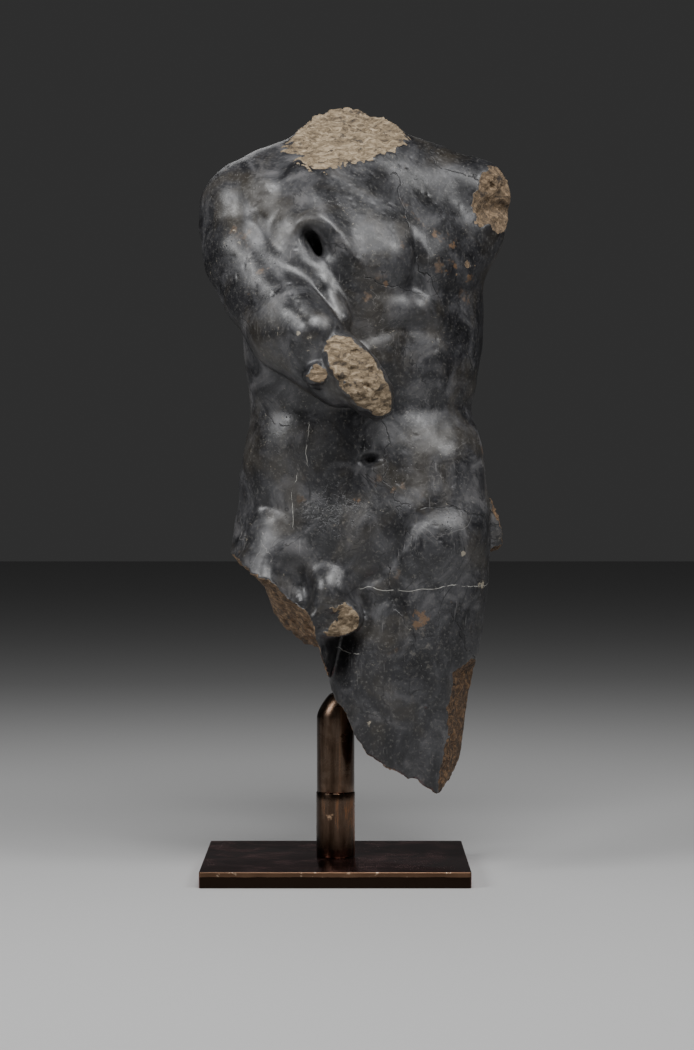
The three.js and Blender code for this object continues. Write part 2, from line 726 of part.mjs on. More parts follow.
function plateGeometry() {
  const [w, d, r] = [PLATE_WIDTH / 2 - PLATE_EDGE, PLATE_DEPTH / 2 - PLATE_EDGE, PLATE_CORNER];
  const outline = new THREE.Shape();
  outline.moveTo(-w + r, -d);
  outline.lineTo(w - r, -d);
  outline.absarc(w - r, -d + r, r, -Math.PI / 2, 0);
  outline.absarc(w - r, d - r, r, 0, Math.PI / 2);
  outline.absarc(-w + r, d - r, r, Math.PI / 2, Math.PI);
  outline.absarc(-w + r, -d + r, r, Math.PI, Math.PI * 1.5);
  const slab = new THREE.ExtrudeGeometry(outline, {
    depth: PLATE_THICKNESS - 2 * PLATE_EDGE,
    bevelThickness: PLATE_EDGE,
    bevelSize: PLATE_EDGE,
    bevelSegments: 2,
    curveSegments: 3,
  });
  return slab.translate(0, 0, PLATE_EDGE);
}

function torsoGeometry(wasm) {
  const surface = thinned(surfaceOf(stone, STONE_LOW, STONE_HIGH, SAMPLE_STEP), STONE_TRIANGLES);
  const whole = solidOf(wasm, geometryOf(surface));
  const bored = whole.subtract(solidOf(wasm, upperPostGeometry(GAP)));
  return geometryOfSolid(bored);
}

// ===================================================================== the part
function piece(name, geometry, color, roughness, metalness) {
  const mesh = new THREE.Mesh(
    geometry,
    new THREE.MeshStandardMaterial({ color, roughness, metalness }),
  );
  mesh.name = name;
  return mesh;
}

const wasm = await Module();
wasm.setup();

const sculpture = new THREE.Group();
sculpture.add(piece("base_plate", plateGeometry(), PLATE_COLOUR, 0.3, 0.8));
sculpture.add(piece("lower_post", lowerPostGeometry(), SOCKET_COLOUR, 0.3, 0.8));
sculpture.add(piece("upper_post", upperPostGeometry(0), POST_COLOUR, 0.28, 0.8));
sculpture.add(piece("marble_torso", torsoGeometry(wasm), STONE_COLOUR, 0.32, 0));

export default sculpture;
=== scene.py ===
"""Marble torso of a youth on its bronze post and plate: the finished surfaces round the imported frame.

The stone is one field, negative inside, worked out in millimetres from the same masses as the
solid that it stands for, with the finer carving and the broken surfaces added. The field is cut
into a closed mesh in metres.
"""
import math

import bmesh
import bpy
import numpy as np
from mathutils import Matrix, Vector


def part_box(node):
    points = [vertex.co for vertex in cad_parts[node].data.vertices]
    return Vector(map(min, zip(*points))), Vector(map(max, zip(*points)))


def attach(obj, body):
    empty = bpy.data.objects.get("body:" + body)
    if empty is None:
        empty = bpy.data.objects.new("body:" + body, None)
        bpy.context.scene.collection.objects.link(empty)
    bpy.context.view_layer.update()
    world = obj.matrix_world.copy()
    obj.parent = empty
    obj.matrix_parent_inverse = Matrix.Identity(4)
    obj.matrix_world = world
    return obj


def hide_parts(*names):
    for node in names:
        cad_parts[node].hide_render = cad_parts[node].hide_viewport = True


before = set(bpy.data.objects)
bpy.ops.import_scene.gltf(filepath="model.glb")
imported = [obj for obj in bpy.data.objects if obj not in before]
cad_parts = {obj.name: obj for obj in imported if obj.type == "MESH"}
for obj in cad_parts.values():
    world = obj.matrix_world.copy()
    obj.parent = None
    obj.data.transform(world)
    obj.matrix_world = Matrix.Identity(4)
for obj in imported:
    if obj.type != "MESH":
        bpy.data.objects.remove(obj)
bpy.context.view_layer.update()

MM = 0.001
SEED = 20

# Sizes read from the frame, in metres.
PLATE_LOW, PLATE_HIGH = (np.array(corner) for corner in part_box("base_plate"))
SOCKET_LOW, SOCKET_HIGH = (np.array(corner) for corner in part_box("lower_post"))
POST_LOW, POST_HIGH = (np.array(corner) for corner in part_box("upper_post"))
STONE_LOW, STONE_HIGH = (np.array(corner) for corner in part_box("marble_torso"))

# ------------------------------------------------------------------ the figure, in millimetres
# Level sections of the trunk: height, middle (x, y), half width, depth to the front and to the
# back, and the turn of the body in degrees.
TRUNK = [
    (330, 20, 0, 70, 50, 60, -14),
    (352, 24, 0, 112, 74, 88, -15),
    (380, 30, 0, 142, 84, 106, -15),
    (410, 32, 0, 158, 91, 112, -12),
    (440, 34, 0, 162, 95, 108, -8),
    (470, 36, 0, 160, 94, 98, -4),
    (505, 34, 0, 155, 92, 84, 1),
    (540, 35, 0, 149, 91, 72, 8),
    (583, 34, 0, 145, 90, 66, 15),
    (620, 34, 0, 150, 94, 70, 20),
    (675, 34, 0, 159, 102, 82, 26),
    (730, 35, 2, 162, 106, 94, 30),
    (790, 35, 5, 162, 105, 100, 31),
    (840, 34, 7, 148, 93, 97, 31),
    (880, 31, 8, 116, 76, 86, 30),
    (912, 27, 8, 80, 58, 70, 26),
    (940, 21, 10, 54, 42, 50, 20),
    (960, 20, 10, 44, 34, 40, 20),
]
TRUNK_SQUARENESS = 2.35
TRUNK_BOTTOM = 334
TRUNK_TOP = 944
THIGH = [
    (80, 81, -4, 72, 72, 62, 0),
    (150, 80, -4, 80, 78, 66, 0),
    (200, 79, -4, 87, 82, 70, 0),
    (250, 84, -4, 92, 84, 76, 0),
    (300, 92, -4, 94, 86, 84, 0),
    (341, 100, -2, 92, 88, 92, 0),
    (390, 108, 0, 88, 88, 90, 0),
    (440, 108, 0, 80, 80, 80, 0),
    (480, 104, 0, 60, 60, 60, 0),
]
THIGH_SQUARENESS = 2.1
MIDLINE = [
    (330, 0), (525, 1), (580, 6), (627, 11), (700, 13), (762, 12), (807, 6), (886, 3), (960, 0),
]
NAVEL_HEIGHT = 525
NIPPLE_HEIGHT = 757
BREAST_HEIGHT = 746
NECK_BREAK = ((0, 0, 940), (0, -0.68, 1))

STONE_STEP = 2.6
STONE_FACES = 188000


# ================================================================== field helpers
def smoothstep(t):
    t = np.clip(t, 0, 1)
    return t * t * (3 - 2 * t)


def join(a, b, blend):
    h = np.maximum(blend - np.abs(a - b), 0) / blend
    return np.minimum(a, b) - h * h * (blend * 0.25)


def cut(a, b, blend):
    return -join(-a, -b, blend)


def curve_through(knots):
    """A smooth curve through (height, value) knots, sampled each millimetre."""
    heights, values = (np.array(column, float) for column in zip(*knots))
    spans = np.diff(heights)
    slopes = np.diff(values) / spans
    inner = (slopes[1:] * spans[:-1] + slopes[:-1] * spans[1:]) / (spans[:-1] + spans[1:])
    tangents = np.concatenate([slopes[:1], inner, slopes[-1:]])
    at = np.arange(heights[0], heights[-1] + 1)
    i = np.clip(np.searchsorted(heights, at, side="right") - 1, 0, len(spans) - 1)
    t = (at - heights[i]) / spans[i]
    along = (values[i] * (1 + 2 * t) * (1 - t) ** 2 + tangents[i] * spans[i] * t * (1 - t) ** 2
             + values[i + 1] * t * t * (3 - 2 * t) + tangents[i + 1] * spans[i] * t * t * (t - 1))
    return lambda z: np.interp(z, at, along).astype(np.float32)


def limb(p, a, ra, b, rb):
    """A round-ended limb that tapers from radius ra at a to radius rb at b."""
    d = np.subtract(b, a)
    t = sum((p[n] - a[n]) * d[n] for n in range(3)) / float(d @ d)
    t = np.clip(t, 0, 1)
    gap = np.sqrt(sum((p[n] - a[n] - t * d[n]) ** 2 for n in range(3)))
    return gap - (ra + (rb - ra) * t)


def offset(p, centre, roll=0):
    """Offset from a centre, turned about the front-to-back axis."""
    x = p[0] - centre[0]
    z = p[2] - centre[2]
    c = math.cos(math.radians(roll))
    s = math.sin(math.radians(roll))
    return c * x + s * z, p[1] - centre[1], -s * x + c * z


def egg(p, centre, radii, roll=0):
    q = offset(p, centre, roll)
    k0 = np.sqrt(sum((q[n] / radii[n]) ** 2 for n in range(3)))
    k1 = np.sqrt(sum((q[n] / radii[n] ** 2) ** 2 for n in range(3))) + 1e-9
    return k0 * (k0 - 1) / k1


def swell(p, centre, radii, roll=0):
    q = offset(p, centre, roll)
    return np.exp(-sum((q[n] / radii[n]) ** 2 for n in range(3)))


def spot(u, z, centre, radii, roll=0):
    """A soft swell round a place on the front or back, across and up."""
    x, z = u - centre[0], z - centre[1]
    c = math.cos(math.radians(roll))
    s = math.sin(math.radians(roll))
    return np.exp(-((c * x + s * z) / radii[0]) ** 2 - ((c * z - s * x) / radii[1]) ** 2)


def line_gap(u, z, line):
    """Distance from a line of (across, height) points, and the side it lies on."""
    nearest = np.full_like(z, np.inf)
    side = np.zeros_like(z)
    for (a, b), (c, d) in zip(line[:-1], line[1:]):
        along = ((u - a) * (c - a) + (z - b) * (d - b)) / ((c - a) ** 2 + (d - b) ** 2)
        t = np.clip(along, 0, 1)
        gap = np.hypot(u - a - t * (c - a), z - b - t * (d - b))
        closer = gap < nearest
        nearest = np.where(closer, gap, nearest)
        side = np.where(closer, np.sign((u - a) * (d - b) - (z - b) * (c - a)), side)
    return nearest, side


def crease(u, z, line, width):
    return np.exp(-(line_gap(u, z, line)[0] / width) ** 2)


def past(p, point, normal):
    """Distance past a plane, positive on the side that its normal shows."""
    length = math.sqrt(sum(n * n for n in normal))
    return sum((p[n] - point[n]) * (normal[n] / length) for n in range(3))


def swept_form(sections, squareness):
    """A form swept up through level sections, each a squarish oval turned about the upright."""
    columns = list(zip(*sections))
    curves = [curve_through(list(zip(columns[0], column))) for column in columns[1:]]

    def field(p):
        x, y, half, front, back, turn = (curve(p[2]) for curve in curves)
        angle = np.radians(turn)
        dx = p[0] - x
        dy = p[1] - y
        u = dx * np.cos(angle) + dy * np.sin(angle)
        v = dy * np.cos(angle) - dx * np.sin(angle)
        towards_back = 1 / (1 + np.exp(-v / 12))
        depth = front * (1 - towards_back) + back * towards_back
        reach = (np.abs(u) / half) ** squareness + (np.abs(v) / depth) ** squareness
        reach = reach ** (1 / squareness)
        inside = -np.minimum(half, depth)
        outer = (reach - 1) * np.hypot(u, v) / np.maximum(reach, 1e-3)
        return np.where(reach > 1e-3, outer, inside), u, v

    return field


LATTICE = 32
lattice_values = np.random.default_rng(SEED).uniform(-1, 1, (LATTICE,) * 3).astype(np.float32)


def ripple(p, size, shift=0.0):
    """Smooth noise from -1 to 1 with features of about the given size."""
    cells = []
    for n in range(3):
        at = p[n] / (size * 0.5) + shift + 7.3 * n
        whole = np.floor(at).astype(np.int32)
        t = (at - whole).astype(np.float32)
        cells.append((whole % LATTICE, (whole + 1) % LATTICE, t * t * (3 - 2 * t)))
    total = 0.0
    for i in (0, 1):
        wi = cells[0][2] if i else 1 - cells[0][2]
        for j in (0, 1):
            wj = cells[1][2] if j else 1 - cells[1][2]
            for k in (0, 1):
                wk = cells[2][2] if k else 1 - cells[2][2]
                total = total + lattice_values[cells[0][i], cells[1][j], cells[2][k]] * (wi * wj * wk)
    return total * 1.6


# ================================================================ relief of the body
def breasts(u, z):
    left_side = smoothstep((u + 14) / 28)
    lower_right = BREAST_HEIGHT + 70 * smoothstep((-u - 74) / 56)
    lower_left = BREAST_HEIGHT - 2 + 0.1 * np.maximum(u - 30, 0) + 34 * smoothstep((u - 84) / 60)
    lower = lower_right + (lower_left - lower_right) * left_side
    above = z - lower - 10 * np.exp(-(u / 16) ** 2)
    soft = 20 + 4 * left_side
    rise = smoothstep((above + soft) / (2 * soft))
    fall = np.exp(-(np.maximum(above - 26, 0) / 66) ** 2)
    within = (1 - smoothstep((-u - 112) / 34)) * (1 - smoothstep((u - 104) / 50))
    valley = np.exp(-(u / (6 + 0.12 * np.maximum(800 - z, 0))) ** 2)
    height = 10.5 * rise * fall * within
    height += 3.5 * spot(u, z, (-31, 782), (24, 30)) + 3 * spot(u, z, (46, 800), (46, 40))
    height -= 8 * valley * smoothstep((z - 722) / 20) * (1 - smoothstep((z - 762) / 60))
    height -= (1.8 * np.exp(-(u / 15) ** 2) * smoothstep((z - 760) / 30)
               * (1 - smoothstep((z - 880) / 30)))
    for side in (-1, 1):
        height += 2.6 * spot(u, z, (side * 84 - 3, NIPPLE_HEIGHT), (5, 5))
    return height


def belly(u, z):
    height = 7 * spot(u, z, (2, 712), (60, 19))
    height -= 3.5 * crease(u, z, [(-74, 670), (-20, 690), (24, 690), (72, 672)], 10)
    height += 6.5 * spot(u, z, (50, 642), (44, 34)) + 6 * spot(u, z, (-48, 642), (42, 34))
    height += 3 * spot(u, z, (98, 690), (40, 36))
    height -= 5.5 * crease(u, z, [(30, 594), (84, 588), (150, 592)], 17)
    height -= 4 * crease(u, z, [(-150, 590), (-84, 586), (-30, 590)], 15)
    height -= (2 * np.exp(-(u / 9) ** 2) * smoothstep((z - 540) / 40)
               * (1 - smoothstep((z - 720) / 20)))
    for side in (-1, 1):
        height -= 2.4 * crease(side * u, z, [(84, 560), (76, 520), (66, 478)], 13)
    height += 10 * spot(u, z, (2, 438), (56, 48)) + 5 * spot(u, z, (0, 520), (44, 30))
    return height - 17 * spot(u, z, (1, NAVEL_HEIGHT), (11, 6), -6)


def groin_folds(u, z):
    crest = [(172, 486), (124, 466), (92, 460), (73, 448)]
    left = [(76, 446), (68, 418), (52, 386), (30, 370), (16, 346), (12, 322)]
    right = [(-115, 466), (-94, 458), (-76, 437), (-56, 415), (-39, 395), (-30, 372)]
    height = -3.6 * crease(u, z, crest, 17) - 2 * crease(u, z, [(-172, 474), (-115, 466)], 15)
    height -= 5.5 * crease(u, z, left, 9) + 5 * crease(u, z, right, 8.5)
    height += 8 * spot(u, z, (92, 538), (36, 28))
    return height + 5 * spot(u, z, (-106, 438), (28, 24)) + 5 * spot(u, z, (128, 420), (30, 26))


def flanks(u, z, v):
    wrap = smoothstep((50 - v) / 60)
    return (6 * spot(u, z, (128, 530), (36, 34)) + 7 * spot(u, z, (-112, 536), (46, 34))) * wrap


def back_forms(u, z):
    waist_to_shoulder = smoothstep((z - 460) / 60) * (1 - smoothstep((z - 850) / 60))
    height = -9 * np.exp(-(u / 14) ** 2) * waist_to_shoulder
    height += (6 * np.exp(-((np.abs(u) - 36) / 22) ** 2) * smoothstep((z - 480) / 60)
               * (1 - smoothstep((z - 700) / 80)))
    for side in (-1, 1):
        height += 9 * spot(u, z, (side * 84, 800), (40, 54), side * 14)
        height -= 4 * crease(side * u, z, [(44, 850), (54, 790), (84, 738), (120, 724)], 12)
        height += 5 * spot(u, z, (side * 112, 690), (34, 70), side * -14)
    height += 29 * spot(u, z, (-74, 404), (56, 54)) + 29 * spot(u, z, (70, 412), (54, 56))
    height -= 16 * np.exp(-(u / 9) ** 2) * (1 - smoothstep((z - 440) / 40))
    return height - 5 * crease(u, z, [(30, 486), (90, 500), (150, 490)], 14)


# ==================================================================== masses of stone
trunk_form = swept_form(TRUNK, TRUNK_SQUARENESS)
thigh_form = swept_form(THIGH, THIGH_SQUARENESS)
midline = curve_through(MIDLINE)


def trunk(p):
    field, across, v = trunk_form(p)
    z = p[2]
    u = across - midline(z)
    relief = smoothstep(-v / 30) * (breasts(u, z) + belly(u, z) + groin_folds(u, z))
    relief += flanks(u, z, v) + smoothstep(v / 30) * back_forms(u, z)
    return cut(cut(field, TRUNK_BOTTOM - z, 34), z - TRUNK_TOP, 24) - relief


def left_shoulder(p):
    ball = join(limb(p, (62, 18, 890), 57, (178, 34, 869), 44),
                egg(p, (180, 40, 836), (40, 48, 62)), 26)
    return join(ball, limb(p, (66, 14, 922), 20, (124, 24, 902), 22), 20)


def right_shoulder(p):
    return join(limb(p, (-24, 6, 890), 52, (-97, -16, 849), 58),
                limb(p, (-30, 10, 918), 22, (-88, 0, 896), 24), 20)


def neck(p):
    return limb(p, (16, 14, 880), 57, (16, 8, 1000), 53)


def left_thigh(p):
    x, y, z = p
    front = smoothstep(-y / 30)
    valley = crease(x, z, [(102, 330), (104, 220), (98, 110)], 15)
    column = cut(cut(thigh_form(p)[0], z - 462, 40), 90 - z, 20)
    column += front * valley * (4 + 7 * smoothstep((260 - z) / 140)) * smoothstep((380 - z) / 80)
    return column - 5 * front * spot(x, z, (66, 330), (26, 60))


def right_thigh_stub(p):
    return limb(p, (-46, 2, 415), 82, (-84, -40, 290), 84)


# ========================================================================= the breaks
# Each is the distance outside the stone that the break leaves, with its own fracture.
def fracture(p, coarse, fine, shift):
    grit = 0.4 * fine * ripple(p, 4, shift)
    return coarse * ripple(p, 26, shift) + fine * ripple(p, 8, shift + 3) + grit


def wavy_fracture(p):
    """Ribs of torn stone that run across the break in waves."""
    wander = 2.2 * ripple(p, 44, 1.0) + 0.6 * ripple(p, 16, 2.0)
    ribs = np.sin((p[1] * 0.9 + p[0] * 0.28) * 0.62 + wander * 2.4)
    return 1.5 * ribs + 1.6 * ripple(p, 22, 4.0) + 0.7 * ripple(p, 6, 5.0)


def neck_break(p):
    notch = 6 * np.exp(-((p[0] - 48) / 12) ** 2) * smoothstep((p[1] + 10) / 30)
    return past(p, *NECK_BREAK) - 1.5 + wavy_fracture(p) + notch


def shoulder_break(p):
    deeper = 7 * np.exp(-((p[2] - 847) / 15) ** 2) - 6 * smoothstep((832 - p[2]) / 20) - 3
    face = past(p, (170, -24, 0), (0.767, -0.64, 0)) + deeper + fracture(p, 3.0, 1.2, 9.0)
    return join(face, p[2] - 752 - 0.3 * (p[0] - 200) + 5 * ripple(p, 24, 6.0), 12)


def right_thigh_break(p):
    turn = 0.4 * smoothstep((p[0] + 104) / 34) - 0.04
    slant = past(p, (-132, -65, 408.5), (0.862, 0.27, 1)) + (turn - 0.27) * (p[1] + 65) * 0.74
    inner_face = p[0] - np.where(p[2] < 248, -9.0, -26 + (311 - p[2]) * 0.2857)
    return -cut(slant + fracture(p, 2.6, 1.0, 11.0), inner_face + fracture(p, 0.8, 0.5, 12.0), 2)


def left_thigh_break(p):
    x = p[0]
    dip = (13 * np.exp(-((x - 46) / 22) ** 2) - 8 * smoothstep((24 - x) / 14)
           - 5 * smoothstep((x - 88) / 20))
    return -past(p, (0, -70, 206), (0.85, -0.31, 1)) - dip * 0.74 + fracture(p, 2.0, 1.0, 13.0)


def left_thigh_tip(p):
    return -past(p, (123, 0, 97), (-1.25, 0, 1)) + fracture(p, 1.5, 0.8, 14.0)


def outer_thigh_flake(p):
    face = 0.93 * (p[0] - 154) - 0.36 * (p[1] + 10) - 0.115 * (p[2] - 135)
    return face - 0.8 * np.maximum(p[2] - 258, 0) + fracture(p, 1.6, 0.8, 15.0)


def forearm_break(p):
    bulge = ((p[0] - 28) ** 2 + (p[2] - 626) ** 2) / 140 - 3
    return past(p, (32, -188, 626), (0.16, -0.98, 0.1)) + bulge + fracture(p, 2.8, 1.8, 16.0)


def elbow_knob_break(p):
    return past(p, (-21, -176, 628), (-0.1, -0.99, 0)) + fracture(p, 1.0, 1.4, 17.0)


def groin_break(p):
    return past(p, (0, -99, 335), (0, -0.96, -0.28)) + fracture(p, 3.0, 1.6, 18.0)


def groin_root(p):
    return egg(p, (-5, -80, 356), (19, 24, 30))


class Marks:
    """How far inside the unbroken stone each point of a break lies, and how brown it is."""

    def __init__(self):
        self.depth = None
        self.warmth = None

    def note(self, depth, warmth):
        if self.depth is None:
            self.depth = depth
            self.warmth = np.full_like(depth, warmth)
        else:
            self.warmth = np.where(depth > self.depth, warmth, self.warmth)
            self.depth = np.maximum(self.depth, depth)


def broken(field, break_gap, blend, warmth, marks):
    left = cut(field, break_gap, blend)
    if marks:
        marks.note(np.minimum(break_gap - field, 3 - left), warmth)
    return left


def groin(p, marks):
    lump = join(egg(p, (2, -84, 328), (31, 27, 24)), groin_root(p), 8)
    return broken(lump, groin_break(p), 2, 0.25, marks)


def strut(p, marks):
    block = egg(p, (186, 38, 438), (36, 26, 42))
    rough = fracture(p, 2.5, 1.5, 19.0)
    outer = past(p, (201, 0, 470), (0.956, 0, 0.294)) + rough
    return broken(broken(block, outer, 2, 0.9, marks),
                  past(p, (217, 0, 416), (0.39, 0, -0.92)) + rough, 2, 0.9, marks)


# Lines over the front, as (x, height) points.
ARMPIT_GROOVE = [(-94, 872), (-83, 850), (-73, 828), (-66, 806)]
BREAST_FOLD = [(-40, 819), (-24, 820), (-8, 813), (3, 801), (9, 786), (12, 770)]


def right_arm(p, marks):
    x, y, z = p
    arm = limb(p, (-113, -14, 824), 61, (-105, -36, 784), 60)
    arm = join(arm, limb(p, (-105, -36, 784), 60, (-86, -58, 738), 55.5), 10)
    arm = join(arm, limb(p, (-86, -58, 738), 55.5, (-54, -98, 684), 51), 10)
    arm = join(arm, limb(p, (-54, -98, 684), 51, (8, -134, 630), 42), 10)
    arm = join(arm, limb(p, (-108, -58, 790), 34, (-26, -146, 682), 30), 22)
    inner_muscle = join(limb(p, (-57, -95, 808), 12, (-14, -115, 740), 12),
                        limb(p, (-14, -115, 740), 12, (4, -128, 696), 16), 8)
    arm = join(arm, inner_muscle, 4)
    arm = arm + 5 * crease(x, z, ARMPIT_GROOVE, 6) * smoothstep((-y - 40) / 30)
    forearm = egg(p, (28, -150, 626), (31, 70, 60), 36) + 1.5 * ripple(p, 20, 26.0)
    arm = join(arm, broken(forearm, forearm_break(p), 6, 0.2, marks), 6)
    elbow_knob = egg(p, (-21, -152, 628), (18, 30, 18)) + 1.5 * ripple(p, 14, 27.0)
    arm = join(arm, broken(elbow_knob, elbow_knob_break(p), 3, 0.4, marks), 5)
    knob = egg(p, (-95, -80, 822), (14, 10, 14))
    arm = join(arm, broken(knob, past(p, (-95, -88, 822), (-0.3, -0.95, 0.1)), 1, 0.7, marks), 5)
    scar = egg(p, (-90, -63, 860), (10, 9, 7))
    return join(arm, broken(scar, past(p, (-90, -70, 862), (-0.3, -0.9, 0.4)), 1, 0.8, marks), 6)


def carved_surface(p):
    """The slight unevenness that hand polishing leaves, with pits and small chips."""
    uneven = 0.5 * ripple(p, 60, 21.0) + 0.2 * ripple(p, 25, 22.0)
    pits = smoothstep((ripple(p, 9, 23.0) - 0.92) / 0.2)
    return uneven + 0.8 * pits * smoothstep((ripple(p, 60, 24.0) - 0.1) / 0.3)


def stone(p, marks=None):
    x, y, z = p
    field = join(trunk(p), left_shoulder(p), 30)
    field = broken(field, shoulder_break(p), 2, 0.6, marks)
    field = join(field, right_shoulder(p), 32)
    field = broken(join(field, neck(p), 26), neck_break(p), 2, 0.1, marks)
    field = join(join(field, left_thigh(p), 16), right_thigh_stub(p), 14)
    field = cut(field, -egg(p, (-47, -106, 372), (25, 40, 44), 34), 20)
    field = join(join(field, groin_root(p), 28), groin(p, marks), 16)
    field = field + 6 * swell(p, (-16, -110, 766), (22, 50, 26), 28)
    field = field - 8 * crease(x, z, BREAST_FOLD, 13) * smoothstep((-y - 50) / 30)
    field = cut(field, -egg(p, (-27, -122, 791), (12, 42, 20), 26), 15)
    field = join(field, strut(p, marks), 6)
    arm_blend = 9 + 40 * smoothstep((z - 800) / 70) + 30 * smoothstep((y + 10) / 40)
    field = join(field, right_arm(p, marks), arm_blend)
    field = field + carved_surface(p)
    field = broken(field, right_thigh_break(p), 1.5, 0.75, marks)
    field = broken(field, left_thigh_break(p), 1.5, 0.7, marks)
    field = broken(field, left_thigh_tip(p), 8, 0.8, marks)
    return broken(field, outer_thigh_flake(p), 2, 1.0, marks)


# ================================================================ field to a closed mesh
def simple_patterns():
    """For each way that a grid cell's corners lie in or out, whether one plain sheet crosses it."""
    corners = range(8)
    linked = [[c for c in corners if bin(c ^ other).count("1") == 1] for other in corners]
    faces = [[c for c in corners if (c >> axis & 1) == side] for axis in range(3) for side in (0, 1)]

    def in_one_piece(chosen):
        if not chosen:
            return True
        seen, rest = {chosen[0]}, [chosen[0]]
        while rest:
            for other in linked[rest.pop()]:
                if other in chosen and other not in seen:
                    seen.add(other)
                    rest.append(other)
        return len(seen) == len(chosen)

    def crossed(face, inside):
        mine = [c for c in face if c in inside]
        return len(mine) == 2 and bin(mine[0] ^ mine[1]).count("1") == 2

    table = np.zeros(256, bool)
    for pattern in range(256):
        inside = [c for c in corners if pattern >> c & 1]
        outside = [c for c in corners if not pattern >> c & 1]
        plain = in_one_piece(inside) and in_one_piece(outside)
        table[pattern] = plain and not any(crossed(face, inside) for face in faces)
    return table


def sampled(field, low, step, count):
    """The field on a grid, worked out in full only near the surface."""
    coarse = 4
    thick = [n // coarse + 2 for n in count]
    places = [low[n] + step * coarse * np.arange(thick[n]) for n in range(3)]
    grid = np.meshgrid(*places, indexing="ij")
    rough = field([axis.astype(np.float32) for axis in grid])
    near = np.abs(rough) < step * coarse * 2.6
    block = [np.repeat(np.arange(thick[n]), coarse)[coarse // 2:][:count[n]] for n in range(3)]
    values = rough[np.ix_(*block)].astype(np.float32)
    i, j, k = np.nonzero(near[np.ix_(*block)])
    at = [(low[n] + step * index).astype(np.float32) for n, index in enumerate((i, j, k))]
    values[i, j, k] = field(at)
    return values


def fill_tangles(values):
    """Fills the few cells that more than one sheet crosses, so that the surface stays closed."""
    table = simple_patterns()
    depth = 0.3
    for _ in range(12):
        inside = values < 0
        pattern = np.zeros([n - 1 for n in values.shape], np.uint8)
        for corner in range(8):
            window = tuple(slice(corner >> n & 1, (corner >> n & 1) + pattern.shape[n]) for n in range(3))
            pattern |= inside[window].astype(np.uint8) << corner
        cells = np.argwhere(~table[pattern])
        if len(cells) == 0:
            break
        for corner in range(8):
            i, j, k = (cells + [corner & 1, corner >> 1 & 1, corner >> 2]).T
            values[i, j, k] = np.minimum(values[i, j, k], -depth)
    return values


def meshed(field, low, high, step):
    """Points in millimetres and four-sided faces of the surface where the field is nought."""
    count = [int(math.ceil((high[n] - low[n]) / step)) + 1 for n in range(3)]
    values = fill_tangles(sampled(field, low, step, count))
    inside = values < 0
    shape = [n - 1 for n in count]
    mixed = np.zeros(shape, bool)
    first = inside[:-1, :-1, :-1]
    windows = []
    for corner in range(8):
        windows.append(tuple(slice(corner >> n & 1, (corner >> n & 1) + shape[n]) for n in range(3)))
        mixed |= inside[windows[corner]] != first
    cells = np.argwhere(mixed)
    corner_values = [values[windows[corner]][mixed] for corner in range(8)]
    total = np.zeros((len(cells), 3))
    crossings = np.zeros(len(cells))
    for a in range(8):
        for axis in range(3):
            b = a | 1 << axis
            if a == b:
                continue
            va, vb = corner_values[a], corner_values[b]
            crosses = (va < 0) != (vb < 0)
            t = np.where(crosses, va / np.where(crosses, va - vb, 1), 0)
            place = np.repeat([[a & 1, a >> 1 & 1, a >> 2]], len(cells), 0).astype(float)
            place[:, axis] = t
            total += place * crosses[:, None]
            crossings += crosses
    points = np.array(low) + step * (cells + total / crossings[:, None])
    number = np.full(shape, -1, np.int32)
    number[mixed] = np.arange(len(cells))
    faces = []
    for axis in range(3):
        s, t = (axis + 1) % 3, (axis + 2) % 3
        here = [slice(1, -1)] * 3
        there = [slice(1, -1)] * 3
        here[axis] = slice(0, -1)
        there[axis] = slice(1, None)
        starts = inside[tuple(here)]
        i = np.argwhere(starts != inside[tuple(there)]) + [0 if n == axis else 1 for n in range(3)]
        outwards = inside[tuple(i.T)]
        step_s, step_t = np.eye(3, dtype=int)[s], np.eye(3, dtype=int)[t]
        ring = [number[tuple((i - back).T)] for back in (0 * step_s, step_s, step_s + step_t, step_t)]
        quad = np.stack(ring, 1)
        faces.append(np.where(outwards[:, None], quad, quad[:, ::-1]))
    return settled(field, points, step), np.concatenate(faces)


def slope_of(field, points, reach=0.4):
    slope = np.zeros_like(points)
    for axis in range(3):
        ahead, behind = points.copy(), points.copy()
        ahead[:, axis] += reach
        behind[:, axis] -= reach
        slope[:, axis] = (field(ahead.T) - field(behind.T)) / (2 * reach)
    return slope


def settled(field, points, step):
    """Moves the points onto the surface."""
    for _ in range(2):
        slope = slope_of(field, points)
        steepness = (slope ** 2).sum(1) + 1e-6
        move = np.clip(field(points.T) / steepness, -step / 3, step / 3)
        points = points - move[:, None] * slope
    return points


# ===================================================================== mesh helpers
def mesh_object(name, points, faces):
    mesh = bpy.data.meshes.new(name)
    mesh.from_pydata([tuple(point) for point in points], [], [tuple(face) for face in faces])
    mesh.update()
    thing = bpy.data.objects.new(name, mesh)
    bpy.context.scene.collection.objects.link(thing)
    return thing


def smooth(thing):
    thing.data.polygons.foreach_set("use_smooth", [True] * len(thing.data.polygons))


def plain_copy(thing):
    """Replaces the object's mesh by what its modifiers make of it."""
    evaluated = thing.evaluated_get(bpy.context.evaluated_depsgraph_get())
    mesh = bpy.data.meshes.new_from_object(evaluated)
    thing.modifiers.clear()
    thing.data = mesh
    return thing


def set_attribute(thing, name, values):
    attribute = thing.data.attributes.new(name, "FLOAT", "POINT")
    attribute.data.foreach_set("value", np.asarray(values, np.float32))


def finish_piece(piece, node, material):
    piece.data.materials.clear()
    piece.data.materials.append(material)
    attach(piece, "root")
    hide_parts(node)


